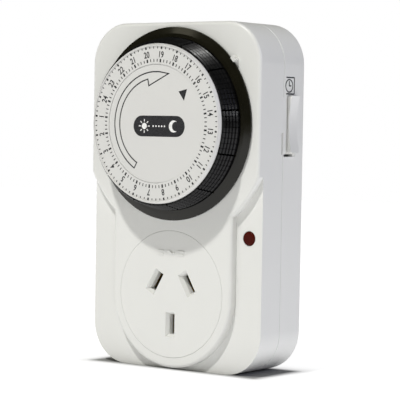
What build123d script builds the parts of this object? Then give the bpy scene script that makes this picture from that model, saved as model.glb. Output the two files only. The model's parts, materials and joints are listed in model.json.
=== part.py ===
"""Plug-in 24-hour mechanical timer with a flat-pin socket outlet.

Frame: origin at the centre of the plug's pin pattern on the flat back of the casing,
+X to the right and +Z up as seen from the front, +Y to the back. The front faces -Y.
"""
from build123d import *
from math import atan2, cos, degrees, radians, sin
import os

os.makedirs("parts", exist_ok=True)

# ---- Driving dimensions, in millimetres and degrees ----
CASE_W = 71.2
CASE_TOP = 92.5
CASE_BOTTOM = -25.7
CORNER_R = 14.0
FACE_Y = -27.0        # raised front face
LOW_Y = -24.15        # lower front face beside the socket
SEAM_Y = -13.0        # where the two halves of the casing meet
SEAM_GROOVE = 0.25    # edge broken on each half, so the seam shows as a fine line
WALL = 2.0
BACK_WALL = 2.4

DIAL_Z = 58.0         # height of the dial's centre above the socket's
COLLAR_R = 39.5       # raised collar round the dial
BOSS_R = 25.2         # raised boss round the socket
DISH_R = 31.2         # recess behind the dial
DISH_Y = -23.4
DISH_WALL = 1.8

SKIRT_R = 32.8
SKIRT_Y = -27.35
LIP_R = 29.35
DRUM_WALL_R = 26.2
RING_TEETH = 90
RING_MODULE = 0.5
HUB_R = 5.0

TRIPPER_GROUPS = 12
TRIPPERS_PER_GROUP = 8

SCALE_R = 26.9
SCALE_BACK_Y = -36.0
SCALE_FRONT_Y = -37.1
CENTRE_R = 19.8

SOCKET_R = 21.75
SLOT_W, SLOT_L = 2.3, 6.9
LEAD_IN_W, LEAD_IN_DEPTH = 0.8, 1.4
PIN_W, PIN_T = 6.35, 1.6
LIVE_PIN_LENGTH, EARTH_PIN_LENGTH = 17.06, 19.94
# name: (x, z, tilt seen from the front, length of the pin)
POLES = {
    "neutral": (-6.86, 3.96, -30, LIVE_PIN_LENGTH),
    "line": (6.86, 3.96, 30, LIVE_PIN_LENGTH),
    "earth": (0, -10.31, 0, EARTH_PIN_LENGTH),
}

NEON_X, NEON_Z, NEON_R = 30.35, 20.4, 2.45
SCREWS = [(-26, 84), (26, 84), (-27.5, -17.5), (27.5, -17.5)]

# Gear train: module, layer thickness and pitch, and the axes of the shafts as (x, z).
MODULE = 0.3
LAYER_Y, LAYER_PITCH, GEAR_T = -13.6, 1.1, 0.9
PINION_TEETH = 8
MOTOR_AT = (1.0, 63.5)
PLAY = 0.06           # added to every centre distance, so the teeth have backlash


def facing(y):
    """The upright plane at this depth, with its normal towards the front."""
    return Plane.XZ.offset(-y)


def facing_at(y, at):
    """The same plane with its origin at a shaft's (x, z)."""
    return Plane(origin=(at[0], y, at[1]), x_dir=(1, 0, 0), z_dir=(0, -1, 0))


def save(part, name):
    """Label a finished piece and write its STEP file."""
    part.label = name
    export_step(part, f"parts/{name}.step")


def beyond(start, distance, angle):
    """The point at a distance and at an angle, measured from +X towards +Z."""
    return (
        start[0] + distance * cos(radians(angle)),
        start[1] + distance * sin(radians(angle)),
    )


def case_outline(inset=0):
    """Rounded outline of the casing, as a sketch in the XZ plane."""
    with BuildSketch() as outline:
        with Locations((0, (CASE_TOP + CASE_BOTTOM) / 2)):
            RectangleRounded(
                CASE_W - 2 * inset, CASE_TOP - CASE_BOTTOM - 2 * inset, CORNER_R - inset
            )
    return outline.sketch


def raised_outline(inset=0):
    """Outline of the raised front: a collar round the dial, and the socket's boss."""
    with BuildSketch() as outline:
        with Locations((0, DIAL_Z)):
            Circle(COLLAR_R - inset)
        with Locations((0, DIAL_Z + COLLAR_R / 2)):
            Rectangle(2 * COLLAR_R, COLLAR_R)
        with Locations((0, DIAL_Z / 2)):
            Rectangle(2 * (BOSS_R - inset), DIAL_Z)
        Circle(BOSS_R - inset)
        add(case_outline(inset), mode=Mode.INTERSECT)
    return outline.sketch


# ---- Casing ----
PIP_ANGLE = 49.5      # the pointer on the collar, clockwise from the top
DIAL_PHASE = 50.3     # where the dial's 16 stands, clockwise from the top
TONGUE = (55.6, 67.5)  # low and high end of the front cover's tongue at the slide switch
FLOOR_BACK_Y = DISH_Y + DISH_WALL
PINION_ANGLE = 225
DIAL_PINION_TEETH = 12
PINION_AT = beyond(
    (0, DIAL_Z), (RING_TEETH - DIAL_PINION_TEETH) * RING_MODULE / 2, PINION_ANGLE
)
FINGER_X, FINGER_Z = 21.2, 76.0
LEVER_PIVOT_Y, LEVER_PIVOT_Z = -14.5, 62.0
SWITCH_Y, CAP_W = -8.05, 4.9          # the slide switch's cap: its middle and its width
CAP_X, CAP_Z = (35.65, 37.3), (49.0, 68.1)

with BuildPart() as front_cover:
    with BuildSketch(facing(SEAM_Y)):
        add(case_outline())
    extrude(amount=SEAM_Y - LOW_Y)
    chamfer(front_cover.faces().sort_by(Axis.Y)[-1].outer_wire().edges(), SEAM_GROOVE)
    with BuildSketch(facing(LOW_Y)):
        add(raised_outline())
    extrude(amount=LOW_Y - FACE_Y)
    fillet(front_cover.faces().sort_by(Axis.Y)[0].outer_wire().edges(), 1.2)
    with BuildSketch(facing(SEAM_Y)):
        add(case_outline(WALL))
    extrude(amount=SEAM_Y - LOW_Y - WALL, mode=Mode.SUBTRACT)
    with BuildSketch(facing(LOW_Y + WALL)):
        add(raised_outline(WALL))
    extrude(amount=LOW_Y - FACE_Y, mode=Mode.SUBTRACT)
    # Dish behind the dial, with room for the segments' feet.
    with BuildSketch(facing(FLOOR_BACK_Y)):
        with Locations((0, DIAL_Z)):
            Circle(DISH_R + DISH_WALL)
        add(case_outline(WALL / 2), mode=Mode.INTERSECT)
    extrude(amount=FLOOR_BACK_Y - FACE_Y - 1)
    with BuildSketch(facing(DISH_Y)):
        with Locations((0, DIAL_Z)):
            Circle(DISH_R)
    extrude(amount=DISH_Y - FACE_Y, mode=Mode.SUBTRACT)
    # Openings in the floor: spindle screw, drive pinion, follower finger.
    with BuildSketch(facing(FLOOR_BACK_Y)):
        with Locations((0, DIAL_Z)):
            Circle(1.6)
        with Locations(PINION_AT):
            Circle(3.9)
        with Locations((FINGER_X, FINGER_Z)):
            Rectangle(3.6, 4.0)
    extrude(amount=DISH_WALL, mode=Mode.SUBTRACT)
    # Openings in the face: socket insert and neon lens.
    with BuildSketch(facing(FACE_Y + WALL)):
        Circle(SOCKET_R)
    extrude(amount=WALL, mode=Mode.SUBTRACT)
    with BuildSketch(facing(LOW_Y + WALL)):
        with Locations((NEON_X, NEON_Z)):
            Circle(NEON_R + 0.05)
    extrude(amount=WALL, mode=Mode.SUBTRACT)
    # Pillars for the case screws, and two ears that carry the follower's pin.
    for pillars, wall_y in ((SCREWS[:2], FACE_Y), (SCREWS[2:], LOW_Y)):
        with BuildSketch(facing(SEAM_Y - 0.1)):
            with Locations(*pillars):
                Circle(2.6)
        extrude(amount=SEAM_Y - 0.1 - wall_y - WALL / 2)
    with BuildSketch(facing(SEAM_Y - 0.1)):
        with Locations(*SCREWS):
            Circle(1.25)
    extrude(amount=8, mode=Mode.SUBTRACT)
    with BuildSketch(facing(LEVER_PIVOT_Y + 1.2)):
        with Locations((18.9, LEVER_PIVOT_Z), (23.6, LEVER_PIVOT_Z)):
            Rectangle(1.2, 3)
    extrude(amount=LEVER_PIVOT_Y + 1.2 - FLOOR_BACK_Y)
    with Locations(Location((21, LEVER_PIVOT_Y, LEVER_PIVOT_Z), (0, 90, 0))):
        Cylinder(1.0, 10, mode=Mode.SUBTRACT)
    # Pointer pip on the collar at the drum's edge.
    with BuildSketch(facing(FACE_Y + 0.5)):
        with Locations(beyond((0, DIAL_Z), SKIRT_R + 0.95, 90 - PIP_ANGLE)):
            Rectangle(1.5, 1.9, rotation=90 - PIP_ANGLE)
    extrude(amount=2.1)
    # Tongue beside the slide switch, and the notch under it.
    with BuildSketch(Plane.YZ.offset(CASE_W / 2 - WALL)):
        with Locations((SEAM_Y, sum(TONGUE) / 2)):
            Rectangle(1, TONGUE[1] - TONGUE[0])
    extrude(amount=WALL)
    with BuildSketch(Plane.YZ.offset(CASE_W / 2 - WALL - 0.5)):
        with Locations((SEAM_Y, TONGUE[0] - 3.65)):
            Rectangle(1.6, 7.3)
    extrude(amount=WALL + 1, mode=Mode.SUBTRACT)
save(front_cover.part, "front_cover")

with BuildPart() as rear_cover:
    with BuildSketch(facing(0)):
        add(case_outline())
    extrude(amount=-SEAM_Y)
    chamfer(rear_cover.faces().sort_by(Axis.Y)[0].outer_wire().edges(), SEAM_GROOVE)
    fillet(rear_cover.faces().sort_by(Axis.Y)[-1].outer_wire().edges(), 1.5)
    with BuildSketch(facing(-BACK_WALL)):
        add(case_outline(WALL))
    extrude(amount=-SEAM_Y - BACK_WALL, mode=Mode.SUBTRACT)
    with BuildSketch(facing(-BACK_WALL / 2)):
        with Locations(*SCREWS):
            Circle(3.4)
    extrude(amount=-SEAM_Y - BACK_WALL / 2)
    with BuildSketch(facing(0)):
        with Locations(*SCREWS):
            Circle(1.35)
    extrude(amount=-SEAM_Y, mode=Mode.SUBTRACT)
    with BuildSketch(facing(0)):
        with Locations(*SCREWS):
            Circle(2.5)
    extrude(amount=7, mode=Mode.SUBTRACT)
    # Slots for the plug pins, and a shallow recess for the label.
    with BuildSketch(facing(0)):
        for x, z, tilt, _ in POLES.values():
            with Locations((x, z)):
                Rectangle(PIN_T + 0.1, PIN_W + 0.1, rotation=tilt)
        with Locations((0, 56)):
            RectangleRounded(40, 30, 2)
    extrude(amount=0.3, mode=Mode.SUBTRACT)
    with BuildSketch(facing(-0.3)):
        for x, z, tilt, _ in POLES.values():
            with Locations((x, z)):
                Rectangle(PIN_T + 0.1, PIN_W + 0.1, rotation=tilt)
    extrude(amount=BACK_WALL, mode=Mode.SUBTRACT)
    # Slot for the slide switch in the right-hand wall, and room for the tongue.
    with BuildSketch(Plane.YZ.offset(CASE_W / 2 - WALL - 0.5)):
        with Locations((SWITCH_Y, 57.5)):
            Rectangle(3, 8.8)
        with Locations((-9.6, 48.05)):
            Rectangle(5.4, 0.8)
        with Locations((SEAM_Y, sum(TONGUE) / 2)):
            Rectangle(1.1, TONGUE[1] - TONGUE[0] + 0.1)
    extrude(amount=WALL + 1, mode=Mode.SUBTRACT)
    # Shallow recess round the cap.
    with BuildSketch(Plane.YZ.offset(CASE_W / 2 - 0.2)):
        with Locations(((SEAM_Y + 0.5 + SWITCH_Y + CAP_W / 2) / 2, (47.6 + 68.4) / 2)):
            Rectangle(SWITCH_Y + CAP_W / 2 - SEAM_Y - 0.5, 68.4 - 47.6)
    extrude(amount=1, mode=Mode.SUBTRACT)
save(rear_cover.part, "rear_cover")

with BuildPart() as cover_screws:
    with BuildSketch(facing(-5.2)):
        with Locations(*SCREWS):
            Circle(2.2)
    extrude(amount=1.8)
    with BuildSketch(facing(-6)):
        with Locations(*SCREWS):
            Circle(1.2)
    extrude(amount=14)
    with BuildSketch(facing(-5.2)):
        with Locations(*SCREWS):
            Rectangle(2.6, 0.6)
            Rectangle(0.6, 2.6)
    extrude(amount=0.9, mode=Mode.SUBTRACT)
save(cover_screws.part, "cover_screws")

with BuildPart() as rating_label:
    with BuildSketch(facing(-0.1)):
        with Locations((0, 56)):
            RectangleRounded(39.4, 29.4, 1.7)
    extrude(amount=0.2)
save(rating_label.part, "rating_label")

with BuildPart() as socket_plate:
    with BuildSketch(facing(-24.5)):
        Circle(SOCKET_R - 0.1)
    extrude(amount=-24.5 - FACE_Y)
    with BuildSketch(facing(-23.6)):
        Circle(BOSS_R - WALL - 0.4)
    extrude(amount=1.4)
    with BuildSketch(facing(-23.6)):
        for x, z, tilt, _ in POLES.values():
            with Locations((x, z)):
                Rectangle(SLOT_W, SLOT_L, rotation=tilt)
    extrude(amount=4, mode=Mode.SUBTRACT)
    with BuildSketch(facing(FACE_Y)):
        for x, z, tilt, _ in POLES.values():
            with Locations((x, z)):
                Rectangle(SLOT_W + 2 * LEAD_IN_W, SLOT_L + 2 * LEAD_IN_W, rotation=tilt)
    lead_in_angle = degrees(atan2(LEAD_IN_W, LEAD_IN_DEPTH))
    extrude(amount=-LEAD_IN_DEPTH, taper=lead_in_angle, mode=Mode.SUBTRACT)
save(socket_plate.part, "socket_plate")

with BuildPart() as neon_lens:
    with BuildSketch(facing(LOW_Y + WALL + 0.9)):
        with Locations((NEON_X, NEON_Z)):
            Circle(NEON_R + 0.8)
    extrude(amount=0.85)
    with BuildSketch(facing(LOW_Y + WALL + 0.5)):
        with Locations((NEON_X, NEON_Z)):
            Circle(NEON_R)
    extrude(amount=WALL + 0.9)
    fillet(neon_lens.edges().sort_by(Axis.Y)[0], 0.7)
    with BuildSketch(facing(LOW_Y + WALL + 0.9)):
        with Locations((NEON_X, NEON_Z)):
            Circle(NEON_R - 0.9)
    extrude(amount=WALL + 0.3, mode=Mode.SUBTRACT)
save(neon_lens.part, "neon_lens")


# ---- Dial ----
DIAL_PLANE = Plane(origin=(0, 0, DIAL_Z), x_dir=(1, 0, 0), z_dir=(0, 0, 1))
DIAL_AXIS = Axis((0, 0, DIAL_Z), (0, 1, 0))
RING_PITCH_R = RING_TEETH * RING_MODULE / 2
GROUP_ANGLE = 360 / TRIPPER_GROUPS
RIB_ANGLE = 0.9
TRIPPER_PITCH = (GROUP_ANGLE - RIB_ANGLE) / TRIPPERS_PER_GROUP
TRIPPER_GAP = 0.34    # degrees left free beside each segment


def tooth_corners(teeth, root_r, tip_r, root_share, tip_share, phase):
    """Closed gear outline: every tooth is a trapezoid between two radii."""
    step = 360 / teeth
    corners = []
    for tooth in range(teeth):
        middle = phase + tooth * step
        for r, share in (
            (root_r, -root_share),
            (tip_r, -tip_share),
            (tip_r, tip_share),
            (root_r, root_share),
        ):
            corners.append(beyond((0, 0), r, middle + share * step / 2))
    return corners


with BuildPart() as dial_drum:
    with BuildSketch(DIAL_PLANE):
        # Hub, web, wall and the ring that carries the internal teeth.
        with BuildLine():
            Polyline(
                (HUB_R, -24.1),
                (HUB_R + 2, -24.1),
                (HUB_R + 2, -33.2),
                (24.2, -33.2),
                (24.2, -28.4),
                (23.6, -27.4),
                (23.6, -24.1),
                (DRUM_WALL_R, -24.1),
                (DRUM_WALL_R, SCALE_BACK_Y + 0.02),
                (20.2, SCALE_BACK_Y + 0.02),
                (20.2, -34.9),
                (HUB_R, -34.9),
                close=True,
            )
        make_face()
        # Skirt, sloping down to the casing.
        with BuildLine():
            Polyline(
                (LIP_R, SKIRT_Y),
                (SKIRT_R, SKIRT_Y),
                (SKIRT_R, SKIRT_Y - 0.5),
                (30.6, SKIRT_Y - 1.3),
                (LIP_R, SKIRT_Y - 1.55),
                close=True,
            )
        make_face()
    revolve(axis=DIAL_AXIS)
    # Ribs that carry the skirt between the groups of segments.
    with BuildSketch(facing_at(SKIRT_Y, (0, DIAL_Z))):
        with PolarLocations(
            (DRUM_WALL_R + LIP_R) / 2, TRIPPER_GROUPS, start_angle=90 - DIAL_PHASE
        ):
            Rectangle(LIP_R - DRUM_WALL_R + 0.6, 0.36)
    extrude(amount=1.55)
    # Internal gear ring.
    with BuildSketch(facing_at(-24.1, (0, DIAL_Z))):
        Circle(24.2)
        with BuildLine():
            Polyline(
                *tooth_corners(
                    RING_TEETH, RING_PITCH_R - 0.45, RING_PITCH_R + 0.6, 0.62, 0.4, PINION_ANGLE
                ),
                close=True,
            )
        make_face(mode=Mode.SUBTRACT)
    extrude(amount=3.2)
save(dial_drum.part, "dial_drum")

with BuildPart() as dial_scale:
    with BuildSketch(DIAL_PLANE):
        with BuildLine():
            Polyline(
                (CENTRE_R + 0.15, SCALE_BACK_Y),
                (SCALE_R, SCALE_BACK_Y),
                (SCALE_R, SCALE_BACK_Y - 0.4),
                (SCALE_R - 0.5, SCALE_FRONT_Y - 0.4),
                (SCALE_R - 0.8, SCALE_FRONT_Y - 0.4),
                (SCALE_R - 0.9, SCALE_FRONT_Y),
                (CENTRE_R + 0.15, SCALE_FRONT_Y),
                close=True,
            )
        make_face()
    revolve(axis=DIAL_AXIS)
save(dial_scale.part, "dial_scale")

# Ridges on the grip of a segment: each rises gently and falls off towards the front.
RIDGES = 5
GRIP_BACK_Y, GRIP_FRONT_Y = SKIRT_Y - 1.75, -35.85
GRIP_BACK_R, GRIP_FRONT_R = 29.15, 27.55
RIDGE_RISE, RIDGE_CREST = 0.1, 0.74


def grip_outline():
    """(r, y) points of the ridged outer side, from back to front."""
    points = []
    for ridge in range(RIDGES):
        r = GRIP_BACK_R + (GRIP_FRONT_R - GRIP_BACK_R) * ridge / RIDGES
        start_y = GRIP_BACK_Y + (GRIP_FRONT_Y - GRIP_BACK_Y) * ridge / RIDGES
        crest_y = GRIP_BACK_Y + (GRIP_FRONT_Y - GRIP_BACK_Y) * (ridge + RIDGE_CREST) / RIDGES
        points.append((r, start_y))
        points.append((r + RIDGE_RISE, crest_y))
    return [*points, (GRIP_FRONT_R, GRIP_FRONT_Y)]


def tripper_group(first_angle):
    """Eight push-in segments, counted clockwise from an angle measured from the top."""
    with BuildPart() as group:
        for index in range(TRIPPERS_PER_GROUP):
            start = first_angle + RIB_ANGLE / 2 + index * TRIPPER_PITCH + TRIPPER_GAP / 2
            turn = start - 90
            across = Plane(
                origin=(0, 0, DIAL_Z),
                x_dir=(cos(radians(turn)), 0, -sin(radians(turn))),
                z_dir=(sin(radians(turn)), 0, cos(radians(turn))),
            )
            with BuildSketch(across):
                with BuildLine():
                    Polyline(
                        (DRUM_WALL_R + 0.2, -27.6),
                        (GRIP_BACK_R, -27.6),
                        *grip_outline(),
                        (DRUM_WALL_R + 0.2, GRIP_FRONT_Y),
                        close=True,
                    )
                make_face()
            revolve(axis=DIAL_AXIS, revolution_arc=TRIPPER_PITCH - TRIPPER_GAP)
    return group.part


for group_index in range(TRIPPER_GROUPS):
    # The numbers run anticlockwise, so a group starts at its later hour.
    first_hour = 2 * group_index
    group_start = DIAL_PHASE - 15 * (first_hour + 2 - 16)
    save(tripper_group(group_start), f"trippers_{first_hour:02d}_{first_hour + 2:02d}")

with BuildPart() as dial_post:
    with BuildSketch(DIAL_PLANE):
        with BuildLine():
            Polyline(
                (0, DISH_Y),
                (8, DISH_Y),
                (8, DISH_Y - 0.5),
                (HUB_R - 0.05, DISH_Y - 0.5),
                (HUB_R - 0.05, -35.1),
                (3, -35.1),
                (3, -36.3),
                (0, -36.3),
                close=True,
            )
        make_face()
    revolve(axis=DIAL_AXIS)
    with BuildSketch(facing_at(DISH_Y, (0, DIAL_Z))):
        Circle(1.25)
    extrude(amount=6, mode=Mode.SUBTRACT)
save(dial_post.part, "dial_post")

with BuildPart() as post_screw:
    with BuildSketch(facing_at(FLOOR_BACK_Y + 1.2, (0, DIAL_Z))):
        Circle(2.6)
    extrude(amount=1.2)
    with BuildSketch(facing_at(FLOOR_BACK_Y, (0, DIAL_Z))):
        Circle(1.2)
    extrude(amount=6.5)
    with BuildSketch(facing_at(FLOOR_BACK_Y + 1.2, (0, DIAL_Z))):
        Rectangle(3, 0.6)
        Rectangle(0.6, 3)
    extrude(amount=0.7, mode=Mode.SUBTRACT)
save(post_screw.part, "post_screw")

with BuildPart() as dial_centre_disc:
    with BuildSketch(facing_at(-35.3, (0, DIAL_Z))):
        Circle(CENTRE_R + 0.06)
    extrude(amount=1.6)
    with BuildSketch(facing_at(-35.1, (0, DIAL_Z))):
        Circle(4.8)
    extrude(amount=0.4)
    with BuildSketch(facing_at(-35.1, (0, DIAL_Z))):
        Circle(3.0)
    extrude(amount=1.2, mode=Mode.SUBTRACT)
save(dial_centre_disc.part, "dial_centre_disc")


# ---- Gear train ----
def meet(first, first_r, second, second_r):
    """The point where two circles cross, to the right of the way from first to second."""
    dx, dz = second[0] - first[0], second[1] - first[1]
    gap = (dx * dx + dz * dz) ** 0.5
    along = (gap * gap + first_r * first_r - second_r * second_r) / (2 * gap)
    aside = (first_r * first_r - along * along) ** 0.5
    return (
        first[0] + along * dx / gap + aside * dz / gap,
        first[1] + along * dz / gap - aside * dx / gap,
    )


def direction(start, end):
    """Angle from one shaft to the next, measured from +X towards +Z."""
    return degrees(atan2(end[1] - start[1], end[0] - start[0]))


def centre_distance(teeth, play=PLAY):
    """Distance between the shafts of a pinion and the wheel that it drives."""
    return (PINION_TEETH + teeth) * MODULE / 2 + play


WHEELS = (72, 80, 80, 80, 64)         # teeth of gear_1 to gear_4 and of the clutch gear
shaft_1 = beyond(MOTOR_AT, centre_distance(WHEELS[0]), 90)
shaft_2 = beyond(shaft_1, centre_distance(WHEELS[1]), 172)
shaft_3 = beyond(shaft_2, centre_distance(WHEELS[2]), 235)
shaft_4 = meet(shaft_3, centre_distance(WHEELS[3]), PINION_AT, centre_distance(WHEELS[4]))
SHAFTS = (MOTOR_AT, shaft_1, shaft_2, shaft_3, shaft_4, PINION_AT)
PLATE_BACK_Y, PLATE_FRONT_Y = -13.25, -19.3
PLATE_T = 0.5


def layer(number):
    """Rear face of a layer of gears, counted from the motor."""
    return LAYER_Y - number * LAYER_PITCH


def wheel(teeth, module, at, y, phase):
    """Outline of a spur wheel or pinion on its shaft, at the depth of its rear face."""
    pitch_r = teeth * module / 2
    with BuildSketch(facing_at(y, at)) as outline:
        with BuildLine():
            Polyline(
                *tooth_corners(
                    teeth, pitch_r - 0.95 * module, pitch_r + 0.7 * module, 0.55, 0.2, phase
                ),
                close=True,
            )
        make_face()
    return outline.sketch


def compound_gear(number):
    """Wheel in one layer and its pinion in the next, on a fixed arbor."""
    before, at, after = SHAFTS[number - 1], SHAFTS[number], SHAFTS[number + 1]
    teeth = WHEELS[number - 1]
    wheel_phase = direction(before, at) + 180 + 180 / teeth
    with BuildPart() as gear:
        extrude(wheel(teeth, MODULE, at, layer(number - 1), wheel_phase), amount=GEAR_T)
        pinion_phase = direction(at, after)
        extrude(wheel(PINION_TEETH, MODULE, at, layer(number), pinion_phase), amount=GEAR_T)
        with BuildSketch(facing_at(layer(number - 1), at)):
            Circle(0.85)
        extrude(amount=LAYER_PITCH + 0.1)
        with BuildSketch(facing_at(layer(number - 1) + 1, at)):
            Circle(0.55)
        extrude(amount=4, mode=Mode.SUBTRACT)
    return gear.part


for number in range(1, 5):
    save(compound_gear(number), f"gear_{number}")

with BuildPart() as clutch_gear:
    clutch_phase = direction(shaft_4, PINION_AT) + 180 + 180 / WHEELS[4]
    extrude(wheel(WHEELS[4], MODULE, PINION_AT, layer(4), clutch_phase), amount=GEAR_T)
    with BuildSketch(facing_at(layer(4), PINION_AT)):
        Circle(1.05)
    extrude(amount=GEAR_T, mode=Mode.SUBTRACT)
save(clutch_gear.part, "clutch_gear")

with BuildPart() as dial_pinion:
    extrude(
        wheel(DIAL_PINION_TEETH, RING_MODULE, PINION_AT, -24.0, PINION_ANGLE), amount=2.6
    )
    with BuildSketch(facing_at(layer(4), PINION_AT)):
        Circle(1.0)
    extrude(amount=layer(4) + 25)
save(dial_pinion.part, "dial_pinion")

with BuildPart() as gear_arbors:
    with BuildSketch(facing(PLATE_BACK_Y)):
        with Locations(*SHAFTS[1:5]):
            Circle(0.5)
    extrude(amount=PLATE_BACK_Y - PLATE_FRONT_Y)
save(gear_arbors.part, "gear_arbors")

PILLARS = [(-4.5, 62), (-2.5, 47), (14, 81)]

with BuildPart() as gearbox_pillars:
    with BuildSketch(facing(PLATE_BACK_Y)):
        with Locations(*PILLARS):
            Circle(1.2)
    extrude(amount=PLATE_BACK_Y - PLATE_FRONT_Y)
save(gearbox_pillars.part, "gearbox_pillars")

with BuildPart() as gearbox_rear_plate:
    with BuildSketch(facing(PLATE_BACK_Y + PLATE_T)):
        with Locations(*SHAFTS[1:5], *PILLARS):
            Circle(2.5)
        with Locations(MOTOR_AT):
            Circle(17)
        make_hull()
        with Locations(MOTOR_AT):
            Circle(0.85, mode=Mode.SUBTRACT)
    extrude(amount=PLATE_T)
save(gearbox_rear_plate.part, "gearbox_rear_plate")

with BuildPart() as gearbox_front_plate:
    with BuildSketch(facing(PLATE_FRONT_Y)):
        with Locations(*SHAFTS[1:], *PILLARS):
            Circle(2.5)
        make_hull()
        with Locations(PINION_AT):
            Circle(1.05, mode=Mode.SUBTRACT)
    extrude(amount=PLATE_T)
save(gearbox_front_plate.part, "gearbox_front_plate")


# ---- Motor ----
MOTOR_FRONT_Y, MOTOR_BACK_Y = PLATE_BACK_Y + PLATE_T, -2.6
MOTOR_AXIS = Axis((MOTOR_AT[0], 0, MOTOR_AT[1]), (0, 1, 0))
MOTOR_PLANE = Plane(origin=(MOTOR_AT[0], 0, MOTOR_AT[1]), x_dir=(1, 0, 0), z_dir=(0, 0, 1))


def turned(*points):
    """Solid of revolution about the motor's axis, from its (r, y) outline."""
    with BuildPart() as piece:
        with BuildSketch(MOTOR_PLANE):
            with BuildLine():
                Polyline(*points, close=True)
            make_face()
        revolve(axis=MOTOR_AXIS)
    return piece.part


save(
    turned(
        (1.5, MOTOR_BACK_Y), (17.5, MOTOR_BACK_Y), (17.5, MOTOR_FRONT_Y),
        (16.8, MOTOR_FRONT_Y), (16.8, MOTOR_BACK_Y - 0.7), (1.5, MOTOR_BACK_Y - 0.7),
    ),
    "motor_housing",
)
save(
    turned(
        (8, -12.4), (16.3, -12.4), (16.3, -11.6), (9, -11.6),
        (9, -4.3), (16.3, -4.3), (16.3, -3.5), (8, -3.5),
    ),
    "motor_bobbin",
)
save(turned((9.1, -11.5), (15.4, -11.5), (15.4, -4.4), (9.1, -4.4)), "motor_winding")

with BuildPart() as motor_rotor:
    with BuildSketch(facing_at(-4.2, MOTOR_AT)):
        Circle(7)
    extrude(amount=7.4)
    with BuildSketch(facing_at(-2.9, MOTOR_AT)):
        Circle(0.8)
    extrude(amount=-2.9 - layer(0))
    rotor_phase = direction(MOTOR_AT, shaft_1)
    extrude(wheel(PINION_TEETH, MODULE, MOTOR_AT, layer(0), rotor_phase), amount=GEAR_T)
save(motor_rotor.part, "motor_rotor")


# ---- Follower, switch and override ----
def block(mode, x, y, z):
    """Add or take away a box between two limits along each axis of the open part."""
    with Locations((sum(x) / 2, sum(y) / 2, sum(z) / 2)):
        Box(x[1] - x[0], y[1] - y[0], z[1] - z[0], mode=mode)


LEVER_X = (20.0, 22.4)
BLADE_X = (22.8, 25.8)
CAM_SLOPE = 0.117     # depth gained by the ramp for each millimetre of travel

with BuildPart() as switch_lever:
    with BuildSketch(Plane.YZ.offset(LEVER_X[0])):
        with Locations((LEVER_PIVOT_Y, LEVER_PIVOT_Z)):
            Circle(1.9)
    extrude(amount=LEVER_X[1] - LEVER_X[0])
    block(Mode.ADD, LEVER_X, (-15.3, -13.7), (47, 77.2))
    block(Mode.ADD, LEVER_X, (-24.4, -15.0), (74.8, 77.2))
    block(Mode.ADD, (LEVER_X[0], BLADE_X[1]), (-15.3, -13.9), (47, 49))
    block(Mode.ADD, (LEVER_X[0], 29.6), (-15.0, -13.22), (53, 55))
    with Locations(Location((21, LEVER_PIVOT_Y, LEVER_PIVOT_Z), (0, 90, 0))):
        Cylinder(1.05, 10, mode=Mode.SUBTRACT)
save(switch_lever.part, "switch_lever")

with BuildPart() as lever_pin:
    with Locations(Location((21.25, LEVER_PIVOT_Y, LEVER_PIVOT_Z), (0, 90, 0))):
        Cylinder(0.98, 6.2)
save(lever_pin.part, "lever_pin")

with BuildPart() as lever_spring:
    with BuildLine() as coil:
        Helix(pitch=1.5, height=10.4, radius=1.8, center=(21.2, -2.75, 71), direction=(0, -1, 0))
    with BuildSketch(Plane(origin=coil.line @ 0, z_dir=coil.line % 0)):
        Circle(0.22)
    sweep(path=coil.line)
save(lever_spring.part, "lever_spring")

with BuildPart() as switch_base:
    block(Mode.ADD, (21.5, 27.2), (-20.5, -13.6), (29.5, 36.8))
    block(Mode.SUBTRACT, (22.75, 25.85), (-18.25, -17.65), (29, 37))
    block(Mode.SUBTRACT, (22.75, 25.85), (-16.0, -15.6), (29, 37))
save(switch_base.part, "switch_base")

with BuildPart() as moving_contact:
    block(Mode.ADD, BLADE_X, (-15.95, -15.65), (37.0, 49.5))
    with BuildSketch(facing_at(-15.95, (24.3, 47.5))):
        Circle(1.2)
    extrude(amount=0.4)
save(moving_contact.part, "moving_contact")

with BuildPart() as fixed_contact:
    block(Mode.ADD, BLADE_X, (-18.2, -17.7), (30.5, 50))
    with BuildSketch(facing_at(-17.17, (24.3, 47.5))):
        Circle(1.2)
    extrude(amount=0.6)
save(fixed_contact.part, "fixed_contact")

with BuildPart() as line_strap:
    block(Mode.ADD, BLADE_X, (-18.2, -17.7), (22, 30.5))
    block(Mode.ADD, BLADE_X, (-18.2, -5.5), (22, 22.5))
    block(Mode.ADD, (5.4, BLADE_X[1]), (-6.0, -5.5), (22, 25))
    block(Mode.ADD, (5.4, 8.4), (-6.0, -5.5), (2.5, 25))
save(line_strap.part, "line_strap")

with BuildPart() as load_strap:
    block(Mode.ADD, BLADE_X, (-15.95, -15.65), (26, 36.8))
    block(Mode.ADD, (9, BLADE_X[1]), (-15.95, -15.65), (26, 29))
    block(Mode.ADD, (9, 12), (-15.95, -15.65), (10, 29))
    block(Mode.ADD, (9, 12), (-15.95, -9.1), (10, 10.5))
save(load_strap.part, "load_strap")

with BuildPart() as override_slider:
    block(Mode.ADD, (31.4, 33.3), (-11.9, -5.4), (50.5, 66))
    with BuildSketch(Plane.YZ.offset(27.2)):
        with BuildLine():
            Polyline(
                (-13.0 + 2 * CAM_SLOPE, 52),
                (-13.0 - 6 * CAM_SLOPE, 60),
                (-9, 60),
                (-9, 52),
                close=True,
            )
        make_face()
    extrude(amount=31.5 - 27.2)
save(override_slider.part, "override_slider")

SCOOP_R, SCOOP_DEPTH = 42.0, 1.1

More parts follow.
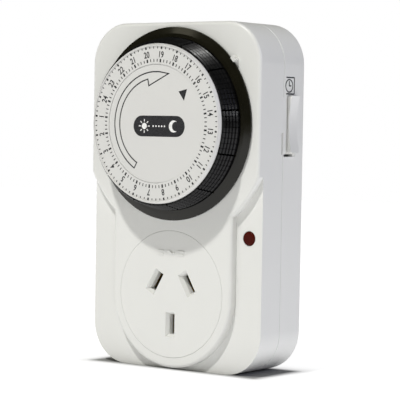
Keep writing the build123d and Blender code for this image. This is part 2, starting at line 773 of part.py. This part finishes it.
with BuildPart() as override_knob:
    block(Mode.ADD, CAP_X, (SWITCH_Y - CAP_W / 2, SWITCH_Y + CAP_W / 2), CAP_Z)
    # Finger scoop across the cap.
    with BuildSketch(Plane.XZ.offset(-SWITCH_Y - CAP_W)):
        with Locations((CAP_X[1] - SCOOP_DEPTH + SCOOP_R, sum(CAP_Z) / 2)):
            Circle(SCOOP_R)
    extrude(amount=2 * CAP_W, mode=Mode.SUBTRACT)
    fillet(override_knob.edges().filter_by(Axis.X), 0.6)
    block(Mode.ADD, (33.3, CAP_X[0] + 0.2), (SWITCH_Y - 1.25, SWITCH_Y + 1.25), (57.6, 61.6))
save(override_knob.part, "override_knob")


# ---- Plug, outlet contacts and lamp ----
PIN_INNER_Y = -5.5
CLIP_FRONT_Y = -23.2

for pole, (x, z, tilt, length) in POLES.items():
    with BuildPart() as pin:
        with BuildSketch(facing(length)):
            with Locations((x, z)):
                Rectangle(PIN_T, PIN_W, rotation=tilt)
        extrude(amount=length - PIN_INNER_Y)
        fillet(pin.edges().filter_by(Axis.Y), 0.3)
        chamfer(pin.faces().sort_by(Axis.Y)[-1].edges(), 0.25)
    save(pin.part, f"{pole}_pin")

    base_y = PIN_INNER_Y - 3 if pole == "line" else PIN_INNER_Y
    with BuildPart() as clip:
        with BuildSketch(facing(base_y)):
            with Locations((x, z)):
                Rectangle(3.6, 7.5, rotation=tilt)
            if pole == "line":
                with Locations((10, 8.5)):
                    Rectangle(4, 4)
                with Locations((8, 6.5)):
                    Rectangle(4, 4)
            if pole == "neutral":
                with Locations((-10.5, 2.5)):
                    Rectangle(6, 3)
        extrude(amount=0.6)
        with BuildSketch(facing(base_y - 0.6)):
            with Locations(Location((x, z), tilt)):
                with Locations((-1.35, 0), (1.35, 0)):
                    Rectangle(0.5, 6.4)
        extrude(amount=base_y - 0.6 - CLIP_FRONT_Y)
    save(clip.part, f"{pole}_clip")

with BuildPart() as pin_holder:
    with BuildSketch(facing(-BACK_WALL - 0.05)):
        Circle(17)
        for x, z, tilt, _ in POLES.values():
            with Locations((x, z)):
                Rectangle(PIN_T + 0.1, PIN_W + 0.1, rotation=tilt, mode=Mode.SUBTRACT)
    extrude(amount=2.5)
save(pin_holder.part, "pin_holder")

with BuildPart() as neon_lamp:
    with BuildSketch(facing_at(-13, (NEON_X, NEON_Z))):
        Circle(2.0)
    extrude(amount=8)
    fillet(neon_lamp.edges().sort_by(Axis.Y)[0], 1.4)
save(neon_lamp.part, "neon_lamp")

with BuildPart() as neon_resistor:
    with BuildSketch(facing_at(-5.5, (NEON_X + 0.8, NEON_Z))):
        Circle(1.1)
    extrude(amount=6)
    fillet(neon_resistor.edges(), 0.4)
save(neon_resistor.part, "neon_resistor")


def wires(radius, bend, *routes):
    """Wires of one gauge, each along a route of straight runs with rounded corners."""
    with BuildPart() as strands:
        for route in routes:
            with BuildLine() as path:
                FilletPolyline(*route, radius=bend)
            with BuildSketch(Plane(origin=path.line @ 0, z_dir=path.line % 0)):
                Circle(radius)
            sweep(path=path.line)
    return strands.part


save(
    wires(
        0.3,
        1.2,
        [(NEON_X + 0.8, -5.5, NEON_Z), (NEON_X + 0.8, -3.6, NEON_Z),
         (NEON_X + 0.8, -3.6, 27.5), (24.3, -3.6, 27.5),
         (24.3, -15.65, 27.5)],
        [(NEON_X - 0.8, -13, NEON_Z), (NEON_X - 0.8, -10.5, NEON_Z),
         (20, -10.5, 12), (15, -10.5, -19),
         (-12.5, -10.5, -19), (-12.5, -10.5, 2.5), (-12.5, -6.1, 2.5)],
    ),
    "neon_leads",
)
save(
    wires(
        0.5,
        2.0,
        [(-6, -8, 46.4), (-6, -8, 33), (-12, -8, 12), (-12, -11, 4.5)],
        [(8, -8, 47.2), (8, -8, 33), (12, -8, 23.5), (12, -6.0, 23.5)],
    ),
    "motor_leads",
)
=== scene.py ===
"""Looks of the plug-in mechanical timer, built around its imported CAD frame.

Metres, in the frame of the CAD: the front faces -Y, +X is to the right and +Z is up.
Sizes are written in millimetres and multiplied by MM.
"""
import json
from math import cos, pi, radians, sin

import bmesh
import bpy
from mathutils import Matrix, Vector


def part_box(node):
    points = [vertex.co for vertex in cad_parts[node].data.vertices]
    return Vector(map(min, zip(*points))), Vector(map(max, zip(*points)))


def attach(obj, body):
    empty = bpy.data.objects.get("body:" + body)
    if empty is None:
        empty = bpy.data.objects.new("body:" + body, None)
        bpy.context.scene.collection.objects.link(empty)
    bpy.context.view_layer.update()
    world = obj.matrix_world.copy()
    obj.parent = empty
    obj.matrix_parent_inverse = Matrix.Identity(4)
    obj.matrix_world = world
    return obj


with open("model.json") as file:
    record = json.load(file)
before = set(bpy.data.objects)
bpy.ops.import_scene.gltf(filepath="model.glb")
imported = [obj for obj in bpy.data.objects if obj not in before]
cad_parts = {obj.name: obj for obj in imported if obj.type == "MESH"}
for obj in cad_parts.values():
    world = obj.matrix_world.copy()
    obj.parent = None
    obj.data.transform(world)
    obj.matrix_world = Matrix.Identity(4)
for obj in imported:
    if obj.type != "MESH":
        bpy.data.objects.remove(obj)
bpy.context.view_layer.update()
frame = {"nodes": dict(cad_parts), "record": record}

MM = 0.001

# ---- Places read from the frame ----
case_low, case_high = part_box("front_cover")
scale_low, scale_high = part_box("dial_scale")
disc_low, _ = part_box("dial_centre_disc")
socket_low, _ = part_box("socket_plate")
label_low, label_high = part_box("rating_label")

FACE_Y = socket_low.y                       # the raised front face
BOTTOM_Z = case_low.z
SIDE_X = case_high.x
DIAL_Z = (scale_low.z + scale_high.z) / 2
DISC_Y = disc_low.y
RIM = 0.4 * MM                              # the scale's raised rim
SCALE_Y = scale_low.y + RIM

# ---- Dial print ----
POINTER_ANGLE = 49.5                        # clockwise from the top, in degrees
HOUR_16_ANGLE = 50.3
INK = 0.03 * MM                             # how far the print stands on the surface


# ---------------------------------------------------------------- helpers
def mesh_object(name, build):
    """New object whose mesh is filled in by a function that gets the bmesh."""
    mesh = bpy.data.meshes.new(name)
    bm = bmesh.new()
    build(bm)
    bmesh.ops.remove_doubles(bm, verts=bm.verts, dist=1e-7)
    bmesh.ops.recalc_face_normals(bm, faces=bm.faces)
    bm.to_mesh(mesh)
    bm.free()
    obj = bpy.data.objects.new(name, mesh)
    bpy.context.scene.collection.objects.link(obj)
    return obj


def dial_point(radius_mm, angle, y):
    """Point on the dial: radius in millimetres, angle clockwise from the top."""
    a = radians(angle)
    return Vector((radius_mm * MM * sin(a), y, DIAL_Z + radius_mm * MM * cos(a)))


def prism(bm, outline, depth):
    """Flat piece with a closed outline, given thickness towards the back."""
    front = [bm.verts.new(p) for p in outline]
    back = [bm.verts.new(Vector(p) + Vector(depth)) for p in outline]
    bm.faces.new(front)
    bm.faces.new(back[::-1])
    for i, vert in enumerate(front):
        j = (i + 1) % len(front)
        bm.faces.new((vert, back[i], back[j], front[j]))


def stroke(bm, points, width, normal, depth):
    """Line of even width along a closed run of points that lie in one plane."""
    count = len(points)
    inner, outer = [], []
    for i, point in enumerate(points):
        before, after = points[i - 1], points[(i + 1) % count]
        d1 = (point - before).normalized()
        d2 = (after - point).normalized()
        n1, n2 = d1.cross(normal), d2.cross(normal)
        mitre = (n1 + n2).normalized()
        reach = width / 2 / max(mitre.dot(n1), 0.35)
        inner.append(point - mitre * reach)
        outer.append(point + mitre * reach)
    rings = [
        [bm.verts.new(p) for p in inner],
        [bm.verts.new(p) for p in outer],
        [bm.verts.new(p + depth) for p in outer],
        [bm.verts.new(p + depth) for p in inner],
    ]
    for i in range(count):
        j = (i + 1) % count
        for k in range(4):
            a, b = rings[k], rings[(k + 1) % 4]
            bm.faces.new((a[i], b[i], b[j], a[j]))


def finish_piece(obj, body, material):
    """Material, and the body that carries the piece."""
    obj.data.materials.clear()
    obj.data.materials.append(material)
    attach(obj, body)
    return obj


# ---------------------------------------------------------------- materials
def new_material(name):
    """Node material, with its shader and a few shortcuts."""
    material = bpy.data.materials.new(name)
    material.use_nodes = True
    tree = material.node_tree
    shader = tree.nodes["Principled BSDF"]
    return material, tree, shader


def noise(tree, scale, detail=3.0, roughness=0.5):
    """Noise over the object's own coordinates, in metres."""
    place = tree.nodes.new("ShaderNodeTexCoord")
    texture = tree.nodes.new("ShaderNodeTexNoise")
    texture.inputs["Scale"].default_value = scale
    texture.inputs["Detail"].default_value = detail
    texture.inputs["Roughness"].default_value = roughness
    tree.links.new(place.outputs["Object"], texture.inputs["Vector"])
    return texture


def ramp(tree, source, low, high, at=(0.35, 0.65)):
    """Colour ramp between two colours, driven by a texture."""
    node = tree.nodes.new("ShaderNodeValToRGB")
    node.color_ramp.elements[0].position = at[0]
    node.color_ramp.elements[1].position = at[1]
    node.color_ramp.elements[0].color = (*low, 1)
    node.color_ramp.elements[1].color = (*high, 1)
    tree.links.new(source.outputs["Fac"], node.inputs["Fac"])
    return node


def span(tree, source, low, high):
    """A texture's value, stretched to run from low to high."""
    node = tree.nodes.new("ShaderNodeMapRange")
    node.inputs["From Min"].default_value = 0.3
    node.inputs["From Max"].default_value = 0.7
    node.inputs["To Min"].default_value = low
    node.inputs["To Max"].default_value = high
    tree.links.new(source.outputs["Fac"], node.inputs["Value"])
    return node


def bump(tree, shader, source, distance, strength=1.0):
    """Fine relief from a texture."""
    node = tree.nodes.new("ShaderNodeBump")
    node.inputs["Distance"].default_value = distance
    node.inputs["Strength"].default_value = strength
    tree.links.new(source.outputs["Fac"], node.inputs["Height"])
    tree.links.new(node.outputs["Normal"], shader.inputs["Normal"])


def moulded(name, colour, shade, roughness, grain=0.010, gloss=0.5):
    """Moulded plastic: slight mottling, uneven gloss and a very fine skin."""
    material, tree, shader = new_material(name)
    cloud = noise(tree, 60)
    colours = ramp(tree, cloud, shade, colour)
    tree.links.new(colours.outputs["Color"], shader.inputs["Base Color"])
    wear = noise(tree, 240, 4)
    gloss_map = span(tree, wear, roughness[0], roughness[1])
    tree.links.new(gloss_map.outputs["Result"], shader.inputs["Roughness"])
    shader.inputs["Specular IOR Level"].default_value = gloss
    skin = noise(tree, 3200, 2)
    bump(tree, shader, skin, grain * MM)
    return material


def metal(name, colour, shade, roughness, stretch=(1, 1, 12)):
    """Stamped or turned metal, with fine drawing marks along one direction."""
    material, tree, shader = new_material(name)
    shader.inputs["Metallic"].default_value = 1.0
    place = tree.nodes.new("ShaderNodeTexCoord")
    scale = tree.nodes.new("ShaderNodeMapping")
    scale.inputs["Scale"].default_value = stretch
    marks = tree.nodes.new("ShaderNodeTexNoise")
    marks.inputs["Scale"].default_value = 500
    marks.inputs["Detail"].default_value = 4
    tree.links.new(place.outputs["Object"], scale.inputs["Vector"])
    tree.links.new(scale.outputs["Vector"], marks.inputs["Vector"])
    colours = ramp(tree, marks, shade, colour)
    tree.links.new(colours.outputs["Color"], shader.inputs["Base Color"])
    gloss_map = span(tree, marks, roughness[0], roughness[1])
    tree.links.new(gloss_map.outputs["Result"], shader.inputs["Roughness"])
    bump(tree, shader, marks, 0.004 * MM)
    return material


def lens_material(name, colour, shade, clear, gloss):
    """Tinted plastic or glass that lets some light through."""
    material, tree, shader = new_material(name)
    cloud = noise(tree, 150)
    colours = ramp(tree, cloud, shade, colour)
    tree.links.new(colours.outputs["Color"], shader.inputs["Base Color"])
    gloss_map = span(tree, noise(tree, 600), 0.14, 0.24)
    tree.links.new(gloss_map.outputs["Result"], shader.inputs["Roughness"])
    shader.inputs["Transmission Weight"].default_value = clear
    shader.inputs["IOR"].default_value = 1.49
    shader.inputs["Specular IOR Level"].default_value = gloss
    return material


def ink_material(name, colour):
    """Pad-printed ink, very slightly uneven."""
    material, tree, shader = new_material(name)
    cloud = noise(tree, 2500, 3)
    lighter = tuple(min(1.0, c * 1.5 + 0.01) for c in colour)
    colours = ramp(tree, cloud, colour, lighter)
    tree.links.new(colours.outputs["Color"], shader.inputs["Base Color"])
    gloss_map = span(tree, cloud, 0.45, 0.65)
    tree.links.new(gloss_map.outputs["Result"], shader.inputs["Roughness"])
    shader.inputs["Specular IOR Level"].default_value = 0.2
    return material


WHITE = moulded("white_plastic", (0.80, 0.80, 0.777), (0.79, 0.79, 0.768), (0.31, 0.34), 0.002)
DIAL_WHITE = moulded("dial_white", (0.72, 0.715, 0.70), (0.71, 0.705, 0.69), (0.30, 0.33), 0.002)
BLACK = moulded(
    "black_plastic", (0.006, 0.006, 0.007), (0.0035, 0.0035, 0.004), (0.16, 0.24), 0.002, 0.3
)
SKIRT = moulded(
    "black_gloss", (0.009, 0.008, 0.004), (0.006, 0.0055, 0.003), (0.14, 0.20), 0.002, 0.34
)
ACETAL = moulded("natural_acetal", (0.74, 0.72, 0.66), (0.68, 0.66, 0.6), (0.35, 0.5))
LABEL = metal("label_foil", (0.62, 0.63, 0.64), (0.55, 0.56, 0.57), (0.38, 0.5), (12, 1, 1))
STEEL = metal("zinc_steel", (0.62, 0.63, 0.65), (0.45, 0.46, 0.48), (0.22, 0.4))
BRASS = metal("brass", (0.80, 0.60, 0.28), (0.66, 0.47, 0.2), (0.22, 0.36))
PIN_BRASS = metal("pin_brass", (0.84, 0.68, 0.40), (0.72, 0.56, 0.3), (0.16, 0.3), (1, 8, 1))
COPPER = metal("copper", (0.72, 0.33, 0.16), (0.55, 0.24, 0.11), (0.3, 0.45))
FERRITE = moulded("ferrite", (0.06, 0.06, 0.065), (0.035, 0.035, 0.04), (0.5, 0.7))
RED_LENS = lens_material("red_lens", (0.075, 0.006, 0.002), (0.05, 0.004, 0.002), 0.0, 0.08)
INK_DARK = ink_material("ink_dark", (0.018, 0.018, 0.020))
INK_WHITE = ink_material("ink_white", (0.74, 0.74, 0.72))
RESISTOR = moulded("resistor_body", (0.6, 0.45, 0.3), (0.5, 0.36, 0.22), (0.3, 0.45))
INSULATION = moulded("wire_insulation", (0.05, 0.12, 0.4), (0.04, 0.09, 0.3), (0.35, 0.5))
GLASS = lens_material("lamp_glass", (0.85, 0.8, 0.78), (0.75, 0.7, 0.68), 0.8, 0.5)

SLOT_MATERIALS = {
    "casing": WHITE,
    "dial_white": DIAL_WHITE,
    "dark_plastic": BLACK,
    "red_lens": RED_LENS,
    "lamp_glass": GLASS,
    "ceramic_body": RESISTOR,
    "copper_wire": COPPER,
    "wire_insulation": INSULATION,
    "zinc_steel": STEEL,
    "magnet": FERRITE,
    "brass": BRASS,
    "pin_brass": PIN_BRASS,
    "gear_plastic": ACETAL,
    "label": LABEL,
}


def paint_frame():
    """Every carried-over CAD node gets the finish of its material slot; the dial drum gets the
    glossy black instead.
    """
    slots = {s["node"]: s["material_slot"] for s in frame["record"]["subparts"]}
    for name, node in frame["nodes"].items():
        material = SKIRT if name == "dial_drum" else SLOT_MATERIALS[slots[name]]
        if not node.data.materials:
            node.data.materials.append(material)
        for index in range(len(node.data.materials)):
            node.data.materials[index] = material


# ---------------------------------------------------------------- dial print
def add_numbers():
    """The 24 numbers of the scale, tops outwards, running anticlockwise."""
    height, radius = 2.05, 23.1
    parts = []
    for hour in range(1, 25):
        text = bpy.data.curves.new(f"number_{hour}", "FONT")
        text.body = str(hour)
        text.size = height * MM / 0.70
        text.align_x, text.align_y = "CENTER", "CENTER"
        text.offset = 0.00005
        text.extrude = INK / 2
        holder = bpy.data.objects.new(f"number_{hour}", text)
        bpy.context.scene.collection.objects.link(holder)
        bpy.context.view_layer.update()
        mesh = bpy.data.meshes.new_from_object(
            holder.evaluated_get(bpy.context.evaluated_depsgraph_get())
        )
        bpy.data.objects.remove(holder)
        angle = HOUR_16_ANGLE - 15 * (hour - 16)
        a = radians(angle)
        right = Vector((cos(a), 0, -sin(a)))
        up = Vector((sin(a), 0, cos(a)))
        turn = Matrix((right, up, Vector((0, -1, 0)))).transposed().to_4x4()
        squeeze = Matrix.Diagonal((0.80, 1, 1, 1))
        centre = dial_point(radius, angle, SCALE_Y - INK / 2)
        mesh.transform(Matrix.Translation(centre) @ turn @ squeeze)
        parts.append(mesh)
    numbers = mesh_object("dial_numbers", lambda bm: [bm.from_mesh(m) for m in parts])
    return finish_piece(numbers, "dial", INK_DARK)


def add_ticks():
    """Two rings of quarter-hour marks, with a bold one at each hour."""

    def build(bm):
        for quarter in range(96):
            angle = HOUR_16_ANGLE + 3.75 * quarter
            half = 0.30 if quarter % 4 == 0 else 0.15
            for low, high in ((20.55, 21.7), (25.0, 25.85)):
                if quarter % 4:
                    low, high = low + 0.12, high - 0.08
                side = dial_point(1, angle + 90, 0) - dial_point(0, 0, 0)
                corners = [
                    dial_point(low, angle, SCALE_Y - INK) - side * half,
                    dial_point(high, angle, SCALE_Y - INK) - side * half,
                    dial_point(high, angle, SCALE_Y - INK) + side * half,
                    dial_point(low, angle, SCALE_Y - INK) + side * half,
                ]
                prism(bm, corners, (0, INK, 0))

    return finish_piece(mesh_object("dial_ticks", build), "dial", INK_DARK)


def add_turning_arrow():
    """Outlined arrow on the fixed disc that shows which way the dial turns."""
    tail, outer, inner = -150.0, 17.4, 15.25
    y = DISC_Y - INK
    steps = 48
    outer_arc = [
        dial_point(outer, tail + (6 - tail) * i / steps, y) for i in range(steps + 1)
    ]
    tip = dial_point(17.55, 17.7, y)
    barb = dial_point(13.0, -13.2, y)
    inner_arc = [
        dial_point(inner, -12.9 + (tail + 12.9) * i / steps, y) for i in range(steps + 1)
    ]
    points = [*outer_arc, tip, barb, *inner_arc]

    def build(bm):
        stroke(bm, points, 0.40 * MM, Vector((0, 1, 0)), Vector((0, INK, 0)))

    arrow = mesh_object("turning_arrow", build)
    return finish_piece(arrow, "case", INK_DARK)


def add_time_pointer():
    """Solid triangle that points at the present time."""
    y = DISC_Y - INK

    def build(bm):
        tip = dial_point(17.5, POINTER_ANGLE - 1, y)
        left = dial_point(14.45, POINTER_ANGLE - 7.6, y)
        right = dial_point(14.2, POINTER_ANGLE + 7.6, y)
        prism(bm, [tip, right, left], (0, INK, 0))

    pointer = mesh_object("time_pointer", build)
    return finish_piece(pointer, "case", INK_DARK)


def disc_point(x_mm, z_mm, y):
    """Point of the fixed disc, from its centre, in millimetres."""
    return Vector((x_mm * MM, y, DIAL_Z + z_mm * MM))


def add_badge():
    """Plain day and night badge: a dark bar with a sun, a moon and a row of dots."""
    centre_x, centre_z, half_l, half_h = 1.6, -0.85, 10.8, 3.5
    y = DISC_Y - INK
    corner = half_h

    def bar(bm):
        outline = []
        for side in (1, -1):
            for i in range(25):
                a = side * pi / 2 - side * pi * i / 24 if side == 1 else -pi / 2 - pi * i / 24
                outline.append(
                    disc_point(
                        centre_x + side * (half_l - corner) + corner * cos(a),
                        centre_z + corner * sin(a),
                        y,
                    )
                )
        prism(bm, outline, (0, INK, 0))

    def symbols(bm):
        top = y - 0.6 * INK
        depth = (0, 0.6 * INK, 0)
        sun_x, moon_x = centre_x - 6.2, centre_x + 6.2
        sun = [
            disc_point(sun_x + 1.05 * cos(a), centre_z + 1.05 * sin(a), top)
            for a in [2 * pi * i / 32 for i in range(32)]
        ]
        prism(bm, sun, depth)
        for ray in range(8):
            a = 2 * pi * ray / 8
            across = (-sin(a) * 0.17, cos(a) * 0.17)
            ends = [(1.5, -1), (2.3, -1), (2.3, 1), (1.5, 1)]
            corners = [
                disc_point(
                    sun_x + r * cos(a) + s * across[0], centre_z + r * sin(a) + s * across[1], top
                )
                for r, s in ends
            ]
            prism(bm, corners, depth)
        outer = [radians(50 + 260 * i / 28) for i in range(29)]
        inner = [radians(288 - 216 * i / 24) for i in range(25)]
        moon = [
            disc_point(moon_x + 2.0 * cos(a), centre_z + 2.0 * sin(a), top) for a in outer
        ] + [
            disc_point(moon_x + 0.93 + 1.58 * cos(a), centre_z + 1.58 * sin(a), top)
            for a in inner[1:-1]
        ]
        prism(bm, moon, depth)
        for dot in range(5):
            middle = centre_x - 2.4 + 1.2 * dot
            spot = [
                disc_point(middle + 0.3 * cos(a), centre_z + 0.3 * sin(a), top)
                for a in [2 * pi * i / 16 for i in range(16)]
            ]
            prism(bm, spot, depth)

    finish_piece(mesh_object("badge_bar", bar), "case", INK_DARK)
    finish_piece(mesh_object("badge_symbols", symbols), "case", INK_WHITE)


# ---------------------------------------------------------------- casing details
def side_point(y_mm, z_mm, x):
    """Point of the right-hand wall; y and z in millimetres from the frame's origin."""
    return Vector((x, y_mm * MM, z_mm * MM))


def add_clock_sign():
    """Clock sign above the slide switch: a dial in a frame that is open to the front."""
    x = SIDE_X + INK
    depth = Vector((-2 * INK, 0, 0))
    middle_y, middle_z = -9.85, 71.4
    width = 0.42 * MM

    def bar(bm, start, end):
        along = (Vector(end) - Vector(start)).normalized()
        across = along.cross(Vector((1, 0, 0))) * width / 2
        prism(bm, [start - across, end - across, end + across, start + across], depth)

    def build(bm):
        ring = [
            side_point(middle_y + 2.1 * cos(a), middle_z + 2.1 * sin(a), x)
            for a in [2 * pi * i / 40 for i in range(40)]
        ]
        stroke(bm, ring, width, Vector((1, 0, 0)), depth)
        bar(bm, side_point(middle_y, middle_z - 0.15, x), side_point(middle_y, middle_z + 1.6, x))
        bar(bm, side_point(middle_y - 0.15, middle_z, x), side_point(middle_y + 1.2, middle_z, x))
        corners = [
            side_point(-11.6, 74.2, x),
            side_point(-6.8, 74.2, x),
            side_point(-6.8, 68.7, x),
            side_point(-11.6, 68.7, x),
        ]
        for start, end in zip(corners, corners[1:]):
            bar(bm, start, end)

    sign = mesh_object("clock_sign", build)
    return finish_piece(sign, "case", INK_DARK)


def add_outlet_marks():
    """Raised wave sign between two short bars above the slots."""

    def build(bm):
        y = FACE_Y - 0.25 * MM
        depth = Vector((0, 0.27 * MM, 0))
        wave = []
        for side in (1, -1):
            run = range(0, 25) if side == 1 else range(24, -1, -1)
            for i in run:
                t = i / 24
                height = 14.4 + 0.5 * sin(2 * pi * t) + side * 0.17
                wave.append(Vector(((-1.6 + 3.2 * t) * MM, y, height * MM)))
        prism(bm, wave, depth)
        for start in (-5.6, 3.0):
            for k in range(2):
                low = 13.4 + 1.2 * k
                corners = [
                    Vector(((start + dx) * MM, y, (low + dz) * MM))
                    for dx, dz in ((0, 0), (2.6, 0), (2.6, 0.4), (0, 0.4))
                ]
                prism(bm, corners, depth)

    marks = mesh_object("outlet_marks", build)
    return finish_piece(marks, "case", WHITE)


def add_label_print():
    """Border and plain rules on the back label, with no lettering."""
    y = label_high.y + INK / 2
    inset = 1.6 * MM
    low_x, high_x = label_low.x + inset, label_high.x - inset
    low_z, high_z = label_low.z + inset, label_high.z - inset

    def build(bm):
        depth = Vector((0, -INK, 0))
        border = [
            Vector((low_x, y, low_z)),
            Vector((high_x, y, low_z)),
            Vector((high_x, y, high_z)),
            Vector((low_x, y, high_z)),
        ]
        stroke(bm, border, 0.35 * MM, Vector((0, 1, 0)), depth)
        for row in range(5):
            z = high_z - (5.0 + 4.2 * row) * MM
            length = (high_x - low_x) * (0.82, 0.6, 0.74, 0.5, 0.66)[row]
            start = high_x - 2.4 * MM
            corners = [
                Vector((start, y, z)),
                Vector((start - length, y, z)),
                Vector((start - length, y, z - 0.8 * MM)),
                Vector((start, y, z - 0.8 * MM)),
            ]
            prism(bm, corners, depth)

    return finish_piece(mesh_object("label_print", build), "case", INK_DARK)


# ---------------------------------------------------------------- stage
FLOOR_REACH, FLOOR_THICKNESS = 1.2, 0.01
FLOOR_GLOW = ((0.014, 0.93), (0.2, 0.96))   # glow at these distances outside the footprint; the rise from no glow paints a contact shadow
FLOOR_PAINTED_SHADOW_INSET = 2 * MM                        # how far inside the footprint the glow begins; the unlit band paints the contact shadow


def add_floor():
    """Pale, glowing floor under the timer, with a painted contact shadow along the footprint."""

    def build(bm):
        reach = FLOOR_REACH
        prism(
            bm,
            [
                Vector((-reach, -reach, BOTTOM_Z)),
                Vector((reach, -reach, BOTTOM_Z)),
                Vector((reach, reach, BOTTOM_Z)),
                Vector((-reach, reach, BOTTOM_Z)),
            ],
            (0, 0, -FLOOR_THICKNESS),
        )

    floor = mesh_object("floor", build)
    material, tree, shader = new_material("pale_floor")
    cloud = noise(tree, 3)
    colours = ramp(tree, cloud, (0.28, 0.28, 0.28), (0.32, 0.32, 0.32))
    tree.links.new(colours.outputs["Color"], shader.inputs["Base Color"])
    shader.inputs["Roughness"].default_value = 0.7
    shader.inputs["Specular IOR Level"].default_value = 0.1
    # The floor glows, more and more with the distance; from 2 mm inside the footprint outwards
    # the glow rises from nothing, which paints a dark contact shadow.
    place = tree.nodes.new("ShaderNodeTexCoord")
    shift = tree.nodes.new("ShaderNodeVectorMath")
    shift.operation = "SUBTRACT"
    shift.inputs[1].default_value = (0, FACE_Y / 2, BOTTOM_Z)
    tree.links.new(place.outputs["Object"], shift.inputs[0])
    size = tree.nodes.new("ShaderNodeVectorMath")
    size.operation = "ABSOLUTE"
    tree.links.new(shift.outputs["Vector"], size.inputs[0])
    past = tree.nodes.new("ShaderNodeVectorMath")
    past.operation = "SUBTRACT"
    # footprint shrunk by the inset where the painted contact shadow is darkest
    past.inputs[1].default_value = (SIDE_X - FLOOR_PAINTED_SHADOW_INSET, -FACE_Y / 2 - FLOOR_PAINTED_SHADOW_INSET, 0)
    tree.links.new(size.outputs["Vector"], past.inputs[0])
    clip = tree.nodes.new("ShaderNodeVectorMath")
    clip.operation = "MAXIMUM"
    clip.inputs[1].default_value = (0, 0, 0)
    tree.links.new(past.outputs["Vector"], clip.inputs[0])
    reach = tree.nodes.new("ShaderNodeVectorMath")
    reach.operation = "LENGTH"
    tree.links.new(clip.outputs["Vector"], reach.inputs[0])
    glow = tree.nodes.new("ShaderNodeFloatCurve")
    curve = glow.mapping.curves[0]
    curve.points[0].location = (0, 0)
    curve.points[1].location = (1, 1)
    for distance, strength in FLOOR_GLOW:
        curve.points.new(distance, strength)
    glow.mapping.update()
    tree.links.new(reach.outputs["Value"], glow.inputs["Value"])
    tree.links.new(glow.outputs["Value"], shader.inputs["Emission Strength"])
    shader.inputs["Emission Color"].default_value = (1, 1, 1, 1)
    floor.data.materials.append(material)


def add_area_light(name, target, azimuth, elevation, distance, size, power, colour):
    """Area light at an azimuth (0 is in front, positive towards +X) aimed at a point."""
    light = bpy.data.lights.new(name, "AREA")
    light.shape = "DISK"
    light.size = size
    light.energy = power
    light.color = colour
    obj = bpy.data.objects.new(name, light)
    a, e = radians(azimuth), radians(elevation)
    way = Vector((sin(a) * cos(e), -cos(a) * cos(e), sin(e)))
    obj.location = target + way * distance
    obj.rotation_mode = "QUATERNION"
    obj.rotation_quaternion = (-way).to_track_quat("-Z", "Y")
    bpy.context.scene.collection.objects.link(obj)


def add_world(camera_white, ambient):
    """Plain white studio surroundings, dimmer as light than as background."""
    world = bpy.data.worlds.new("studio")
    world.use_nodes = True
    tree = world.node_tree
    background = tree.nodes["Background"]
    background.inputs["Color"].default_value = (*ambient, 1)
    plain = tree.nodes.new("ShaderNodeBackground")
    plain.inputs["Color"].default_value = (*camera_white, 1)
    path = tree.nodes.new("ShaderNodeLightPath")
    mix = tree.nodes.new("ShaderNodeMixShader")
    tree.links.new(path.outputs["Is Camera Ray"], mix.inputs["Fac"])
    tree.links.new(background.outputs["Background"], mix.inputs[1])
    tree.links.new(plain.outputs["Background"], mix.inputs[2])
    tree.links.new(mix.outputs["Shader"], tree.nodes["World Output"].inputs["Surface"])
    bpy.context.scene.world = world


# Viewing angle and distance, measured from the centre of the outlet's face.
YAW, PITCH, ROLL = 36.47, 2.37, 0.97
CAMERA_DISTANCE = 0.6152
CAMERA_OFFSET = (0.01011, 0.03212)          # to the camera's right and up
FOCAL_LENGTH, SENSOR = 162.5, 36.0


def add_camera():
    """Camera at the viewing angle: yaw to the right, slightly above, a little rolled."""
    a, e, r = radians(YAW), radians(PITCH), radians(ROLL)
    back = Vector((sin(a) * cos(e), -cos(a) * cos(e), sin(e)))
    level = Vector((cos(a), sin(a), 0))
    upright = back.cross(level)
    right = level * cos(r) + upright * sin(r)
    up = upright * cos(r) - level * sin(r)
    data = bpy.data.cameras.new("camera")
    data.lens, data.sensor_width = FOCAL_LENGTH, SENSOR
    camera = bpy.data.objects.new("camera", data)
    start = Vector((0, FACE_Y, 0))
    place = start + right * CAMERA_OFFSET[0] + up * CAMERA_OFFSET[1] + back * CAMERA_DISTANCE
    camera.matrix_world = Matrix.Translation(place) @ Matrix(
        (right, up, back)
    ).transposed().to_4x4()
    bpy.context.scene.collection.objects.link(camera)
    bpy.context.scene.camera = camera


add_camera()
paint_frame()
add_numbers()
add_ticks()
add_turning_arrow()
add_time_pointer()
add_badge()
add_clock_sign()
add_outlet_marks()
add_label_print()
add_floor()
CENTRE = Vector((0, FACE_Y / 2, 0.035))
add_area_light("key_light", CENTRE, -4, 58.7, 1.3, 0.07, 11.1, (1.0, 0.995, 0.965))
add_area_light("side_fill", CENTRE, 112, 24, 1.5, 0.8, 4.9, (0.72, 0.74, 1.0))
add_area_light("edge_light", CENTRE, 48, 12, 1.5, 0.12, 1.0, (0.97, 0.98, 1.0))
add_area_light("left_soft", CENTRE, -38, 35, 1.4, 0.3, 0.4, (1.0, 0.94, 0.72))
add_world((1, 1, 1), (0.066, 0.067, 0.048))
bpy.context.scene.view_settings.view_transform = "Standard"
